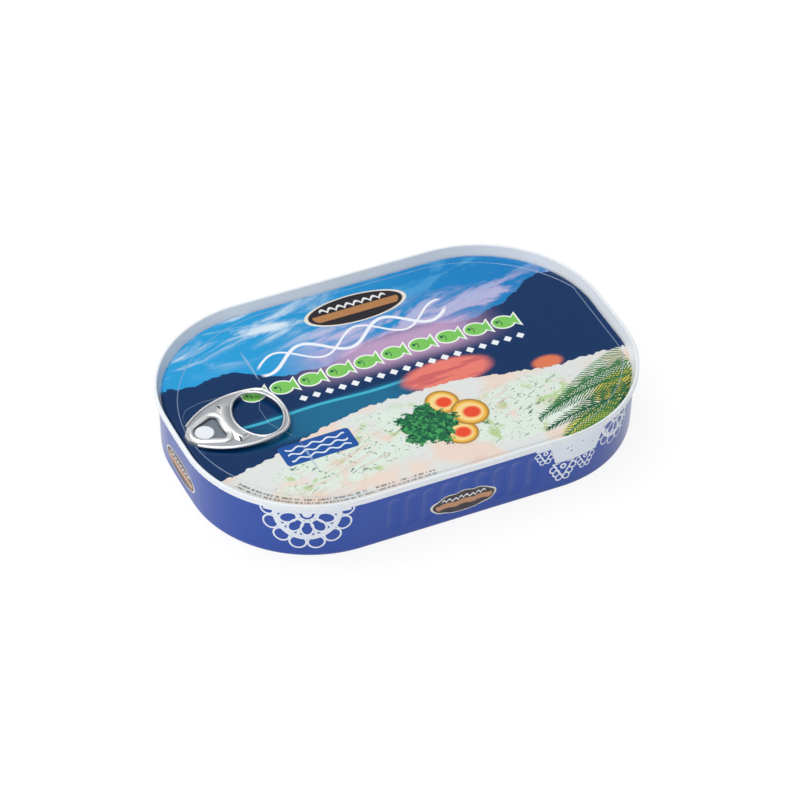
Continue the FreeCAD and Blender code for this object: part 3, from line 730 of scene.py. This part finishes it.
# ------------------------------------------------------------------ the wall that the trims lie on
SEAM_OVERHANG = 1.2 * MM
WALL_TAPER = 0.55 * MM
BASE_RADIUS = 1.8 * MM
END_RADIUS = 400 * MM
WALL_RADIUS = CORNER_RADIUS - SEAM_OVERHANG
END_CENTRE_X = LID_HIGH.x - END_RADIUS
END_HALF_ANGLE = math.atan2(CORNER_Y, CORNER_X - END_CENTRE_X)
BEND = math.pi / 2 - END_HALF_ANGLE
END_RUN = (END_RADIUS - SEAM_OVERHANG) * END_HALF_ANGLE
END_MIDDLE = CORNER_X + WALL_RADIUS * BEND + END_RUN
FLUTE_PITCH = 5.9 * MM
FLUTE_LAST = 4
FLUTE_MIDDLE = 10.6 * MM
FLUTE_FULL = 4.15 * MM
FLUTE_RUN_OUT = 2.6 * MM
FLUTE_DEPTH = 0.42 * MM
FLUTE_RADIUS = 6.5 * MM
PRINT_RISE = 0.05 * MM
DOME_RISE = 0.5 * MM


def flute_sink(x, z):
    """How far the fluted front lies behind the plain wall at a place on it."""
    nearest = max(-FLUTE_LAST, min(FLUTE_LAST, round(x / FLUTE_PITCH)))
    past = max(abs(z - FLUTE_MIDDLE) - FLUTE_FULL, 0) / FLUTE_RUN_OUT
    floor = FLUTE_DEPTH * (1 - past ** 2)
    return max(floor - (x - nearest * FLUTE_PITCH) ** 2 / (2 * FLUTE_RADIUS), 0)


def wall_point(along, out, z):
    """The place so far along the wall from the middle of its front, standing so far out of it."""
    run = abs(along)
    lean = WALL_TAPER * (MOUTH - z) / (MOUTH - BASE_RADIUS)
    inset = SEAM_OVERHANG + lean - out
    radius = CORNER_RADIUS - inset
    if run <= CORNER_X:
        x = run
        y = -CORNER_Y - radius + flute_sink(run, z)
    elif run <= CORNER_X + WALL_RADIUS * BEND:
        turn = (run - CORNER_X) / WALL_RADIUS
        x = CORNER_X + radius * math.sin(turn)
        y = -CORNER_Y - radius * math.cos(turn)
    else:
        turn = (run - END_MIDDLE) / END_RADIUS
        x = END_CENTRE_X + (END_RADIUS - inset) * math.cos(turn)
        y = (END_RADIUS - inset) * math.sin(turn)
    return Vector((math.copysign(x, along), y, z))


def lay_on_wall(piece):
    """Bends a flat trim, drawn upright in front of the tin, round the wall."""
    for vertex in piece.data.vertices:
        flat = vertex.co
        out = max(-PRINT_RISE, min(PRINT_RISE, -flat.y))
        vertex.co = wall_point(flat.x, out, flat.z)
    piece.data.update()


# ------------------------------------------------------------------ small forms of a flat trim
Ring = namedtuple("Ring", "radius stroke corners stretch", defaults=(48, 1.0))


def settle(piece):
    bpy.ops.object.transform_apply(location=True, rotation=True, scale=True)
    return piece


def select_only(*pieces):
    bpy.ops.object.select_all(action="DESELECT")
    for piece in pieces:
        piece.select_set(True)
    if pieces:
        bpy.context.view_layer.objects.active = pieces[0]


def lace_ring(place, ring, turn=0.0):
    x, z = place
    select_only()
    bpy.ops.mesh.primitive_torus_add(
        location=(x, 0, z),
        rotation=(math.pi / 2, turn, 0),
        major_radius=ring.radius,
        minor_radius=ring.stroke / 2,
        major_segments=ring.corners,
        minor_segments=8,
    )
    piece = bpy.context.object
    piece.scale = (1, ring.stretch, 2 * PRINT_RISE / ring.stroke)
    return settle(piece)


def lace_plate(x, z, wide, high, cuts, rise=PRINT_RISE):
    """A flat box, cut finely enough to bend round the wall."""
    select_only()
    bpy.ops.mesh.primitive_cube_add(size=1, location=(x, 0, z))
    piece = bpy.context.object
    piece.scale = (wide, 2 * rise, high)
    settle(piece)
    bpy.ops.object.mode_set(mode="EDIT")
    bpy.ops.mesh.select_all(action="SELECT")
    bpy.ops.mesh.subdivide(number_cuts=cuts)
    bpy.ops.object.mode_set(mode="OBJECT")
    return piece


def lace_bar(start, end, stroke):
    """A straight stroke from one place on the flat pattern to another."""
    (x, z), (far_x, far_z) = start, end
    length = math.hypot(far_x - x, far_z - z)
    piece = lace_plate(0, 0, length, stroke, 6)
    piece.rotation_euler.y = -math.atan2(far_z - z, far_x - x)
    piece.location = ((x + far_x) / 2, 0, (z + far_z) / 2)
    return settle(piece)


def lace_disc(x, z, wide, high):
    """A domed oval, its middle later pressed flat, fine enough to follow the flutes."""
    select_only()
    bpy.ops.mesh.primitive_uv_sphere_add(
        segments=96,
        ring_count=96,
        radius=1,
        location=(x, 0, z),
        rotation=(math.pi / 2, 0, 0),
    )
    piece = bpy.context.object
    piece.scale = (wide, high, DOME_RISE)
    return settle(piece)


def cut(piece, place, facing):
    """Takes away what lies beyond a plane, and closes the cut."""
    select_only(piece)
    bpy.ops.object.mode_set(mode="EDIT")
    bpy.ops.mesh.select_all(action="SELECT")
    bpy.ops.mesh.bisect(plane_co=place, plane_no=facing, use_fill=True, clear_outer=True)
    bpy.ops.object.mode_set(mode="OBJECT")


def joined(name, pieces):
    select_only(*pieces)
    bpy.ops.object.join()
    return named(bpy.context.object, name)


def named(piece, name):
    piece.name = name
    piece.data.name = name
    return piece


def copied(piece, x, z, size):
    select_only(piece)
    bpy.ops.object.duplicate(linked=False)
    twin = bpy.context.object
    twin.location = (x, 0, z)
    twin.scale = (size, 1, size)
    return settle(twin)


def around(radius, turn):
    """The place at that radius, the turn counted from straight down."""
    return radius * math.sin(turn), -radius * math.cos(turn)


def dress(piece, material):
    """Lays a trim on the wall, gives it its finish and says what it rides on."""
    lay_on_wall(piece)
    select_only(piece)
    bpy.ops.object.shade_smooth_by_angle(angle=math.radians(30))
    wear(piece, material)
    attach(piece, "root")


# ------------------------------------------------------------------ lace
DOILY_TOP = 1.9 * MM
DOILY_CELL = math.radians(36)
DOILY_LOOP = math.radians(27)
DOILY_HUB = 1.5 * MM
DOILY_INNER = Ring(2.6 * MM, 0.55 * MM)
DOILY_OUTER = Ring(9.9 * MM, 1.7 * MM, 96)
DOILY_PETAL = Ring(1.95 * MM, 0.6 * MM, 48, 1.5)
DOILY_PETAL_REACH = 6.1 * MM
DOILY_BEAD = Ring(0.6 * MM, 0.4 * MM, 24)
DOILY_BEAD_REACH = 3.0 * MM
DOILY_SPOKE = 1.1 * MM
DOILY_SPOKE_FROM = 7.4 * MM
DOILY_SPOKE_TO = 9.4 * MM
DOILY_EDGE = Ring(2.6 * MM, 0.65 * MM, 48, 0.92)
DOILY_EDGE_REACH = 12.1 * MM


def doily():
    """The lower part of a round doily centred on the origin: rings, petals, spokes and outer loops."""
    pieces = [
        lace_disc(0, 0, DOILY_HUB, DOILY_HUB),
        lace_ring((0, 0), DOILY_INNER),
        lace_ring((0, 0), DOILY_OUTER),
    ]
    for step in range(-2, 3):
        turn = DOILY_CELL * step
        pieces.append(lace_ring(around(DOILY_PETAL_REACH, turn), DOILY_PETAL, -turn))
        pieces.append(lace_ring(around(DOILY_BEAD_REACH, turn), DOILY_BEAD))
    for step in range(-3, 3):
        turn = DOILY_CELL * (step + 0.5)
        ends = around(DOILY_SPOKE_FROM, turn), around(DOILY_SPOKE_TO, turn)
        pieces.append(lace_bar(*ends, DOILY_SPOKE))
    for step in range(8):
        turn = DOILY_LOOP * (step - 3.5)
        pieces.append(lace_ring(around(DOILY_EDGE_REACH, turn), DOILY_EDGE, -turn))
    for piece in pieces:
        cut(piece, (0, 0, DOILY_TOP), (0, 0, 1))
    return joined("doily", pieces)


FAN_FRAME = Ring(4.0 * MM, 1.15 * MM, 3)
FAN_EYE = Ring(0.8 * MM, 0.65 * MM, 24)
FAN_EYE_LIFT = 0.5 * MM
FAN_LOOP = Ring(1.1 * MM, 0.5 * MM, 24, 1.1)
FAN_LOOP_RUNS = (0.7, 2.9, 5.1)


def fan():
    """A three-sided fan of lace round a small ring, its lower sides edged with loops."""
    pieces = [
        lace_ring((0, 0), FAN_FRAME, math.pi / 2),
        lace_ring((0, FAN_EYE_LIFT), FAN_EYE),
    ]
    for side in (-1, 1):
        for run in FAN_LOOP_RUNS:
            x = side * (0.5 * run + 0.85) * MM
            z = (-4.5 + 0.866 * run) * MM
            pieces.append(lace_ring((x, z), FAN_LOOP, side * math.radians(-30)))
    return joined("fan", pieces)


HEM = MOUTH - 0.02 * MM
LEFT_LACE = -51.4 * MM
LEFT_BAND_WIDE = 27 * MM
LEFT_BAND_HIGH = 1.8 * MM
FIELD_MIDDLE = 39.2 * MM
FIELD_WIDE = 22.5 * MM
FIELD_HIGH = 8.6 * MM
FIELD_RISE = 0.8 * PRINT_RISE
FIELD_SIDES = (
    (31 * MM, (-0.967, 0, -0.255)),
    (46 * MM, (0.92, 0, -0.39)),
)
RIGHT_BAND_MIDDLE = 45 * MM
RIGHT_BAND_WIDE = 42 * MM
RIGHT_BAND_HIGH = 1.6 * MM
FANS = (
    (27.4 * MM, 16.8 * MM, 0.78),
    (33.8 * MM, 9.3 * MM, 1.0),
    (41.9 * MM, 10.3 * MM, 0.8),
)
RIGHT_DOILY = 55.5 * MM
RIGHT_DOILY_SIZE = 0.7


def set_lace(material):
    """A doily under the seam on the left; a field, three fans and a small doily on the right."""
    doily_master = doily()
    left = copied(doily_master, LEFT_LACE, HEM - DOILY_TOP, 1.0)
    band = lace_plate(LEFT_LACE, HEM - LEFT_BAND_HIGH / 2, LEFT_BAND_WIDE, LEFT_BAND_HIGH, 24)
    dress(joined("lace_left", [left, band]), material)

    fan_master = fan()
    field = lace_plate(FIELD_MIDDLE, HEM - FIELD_HIGH / 2, FIELD_WIDE, FIELD_HIGH, 24, FIELD_RISE)
    for foot_x, facing in FIELD_SIDES:
        cut(field, (foot_x, 0, HEM - FIELD_HIGH), facing)
    band_z = HEM - RIGHT_BAND_HIGH / 2
    band = lace_plate(RIGHT_BAND_MIDDLE, band_z, RIGHT_BAND_WIDE, RIGHT_BAND_HIGH, 32)
    fans = [copied(fan_master, x, z, size) for x, z, size in FANS]
    small_z = HEM - RIGHT_DOILY_SIZE * DOILY_TOP
    small_doily = copied(doily_master, RIGHT_DOILY, small_z, RIGHT_DOILY_SIZE)
    dress(joined("lace_right", [field, band, *fans, small_doily]), material)
    for spare in (doily_master, fan_master):
        bpy.data.objects.remove(spare, do_unlink=True)


def set_medallion(name, along, material):
    """A plain oval disc on the wall."""
    piece = lace_disc(along, MEDALLION_MIDDLE, MEDALLION_WIDE, MEDALLION_HIGH)
    dress(named(piece, name), material)


# ------------------------------------------------------------------ stage
CAMERA_AZIMUTH = math.radians(-25.855)
CAMERA_ELEVATION = math.radians(40.901)
CAMERA_ROLL = math.radians(1.245)
CAMERA_DISTANCE = 1.2084
CAMERA_TARGET = Vector((-0.00012, -0.00241, 0.012))
CAMERA_LENS = 174.1


def set_camera():
    flat = math.cos(CAMERA_ELEVATION)
    back = Vector((
        math.sin(CAMERA_AZIMUTH) * flat,
        -math.cos(CAMERA_AZIMUTH) * flat,
        math.sin(CAMERA_ELEVATION),
    ))
    right = Vector((math.cos(CAMERA_AZIMUTH), math.sin(CAMERA_AZIMUTH), 0))
    right.rotate(Matrix.Rotation(CAMERA_ROLL, 3, back))
    up = back.cross(right)
    turn = Matrix((right, up, back)).transposed()
    bpy.ops.object.camera_add(
        location=CAMERA_TARGET + back * CAMERA_DISTANCE,
        rotation=turn.to_euler(),
    )
    camera = bpy.context.object
    camera.data.lens = CAMERA_LENS
    camera.data.clip_end = 100
    bpy.context.scene.camera = camera


Lamp = namedtuple("Lamp", "name place target size watts")
LAMPS = (
    Lamp("top_softbox", (-0.25, 0.35, 1.1), (0, 0, 0), (0.9, 0.9), 8.6),
    Lamp("front_fill", (-0.7, -1.1, 0.7), (0, 0, 0.01), (0.8, 0.6), 6),
    Lamp("left_card", (-1.5, 0.5, 0.35), (0, 0, 0.02), (1.4, 0.6), 4),
    Lamp("back_card", (0.1, 1.5, 0.25), (0, 0, 0.02), (1.4, 0.4), 2.5),
)


def set_lamp(lamp):
    aim = (Vector(lamp.target) - Vector(lamp.place)).to_track_quat("-Z", "Y").to_euler()
    bpy.ops.object.light_add(type="AREA", location=lamp.place, rotation=aim)
    light = bpy.context.object
    light.name = lamp.name
    light.data.shape = "RECTANGLE"
    light.data.size, light.data.size_y = lamp.size
    light.data.energy = lamp.watts


FLOOR_SIZE = 30
FLOOR_GREY = (0.9, 0.9, 0.9, 1)
FLOOR_GLOW = 1.04
FLOOR_GLOW_SHARE = 0.85
AIR_COLOUR = (0.95, 0.97, 1.0, 1)
AIR_STRENGTH = 0.4


def floor_white():
    """A white floor that keeps a soft shadow: it glows to the camera and in mirrors alone."""
    material, nodes, shader = new_material("floor_white")
    finish_material(nodes, shader, FLOOR_GREY, roughness=0.9)
    glow = nodes.add("ShaderNodeEmission")
    glow.inputs["Strength"].default_value = FLOOR_GLOW
    rays = nodes.add("ShaderNodeLightPath")
    mirrored = nodes.either(rays.outputs["Is Glossy Ray"], rays.outputs["Is Transmission Ray"])
    seen = nodes.either(rays.outputs["Is Camera Ray"], mirrored)
    blend = nodes.add("ShaderNodeMixShader")
    nodes.feed(blend.inputs[0], nodes.times(seen, FLOOR_GLOW_SHARE))
    nodes.feed(blend.inputs[1], shader.outputs[0])
    nodes.feed(blend.inputs[2], glow.outputs[0])
    nodes.feed(nodes.tree.nodes["Material Output"].inputs["Surface"], blend.outputs[0])
    return material


def set_stage():
    bpy.ops.mesh.primitive_plane_add(size=FLOOR_SIZE, location=(0, 0, CAD_BOX[0][2]))
    floor = bpy.context.object
    floor.name = "floor"
    wear(floor, floor_white())

    world = bpy.data.worlds.new("studio_air")
    bpy.context.scene.world = world
    world.use_nodes = True
    air = world.node_tree.nodes["Background"]
    air.inputs["Color"].default_value = AIR_COLOUR
    air.inputs["Strength"].default_value = AIR_STRENGTH
    for lamp in LAMPS:
        set_lamp(lamp)
    bpy.context.scene.view_settings.view_transform = "Standard"


# ------------------------------------------------------------------ the tin
set_camera()
set_stage()
wear(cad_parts["can_body"], wall_lacquer())
wear(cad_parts["lid"], lid_print())
wear(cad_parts["pull_tab"], bare_metal())
set_lace(lace_white())
MEDALLION_PRINT = medallion_print()
set_medallion("medallion_front", 0, MEDALLION_PRINT)
set_medallion("medallion_left", -END_MIDDLE, MEDALLION_PRINT)
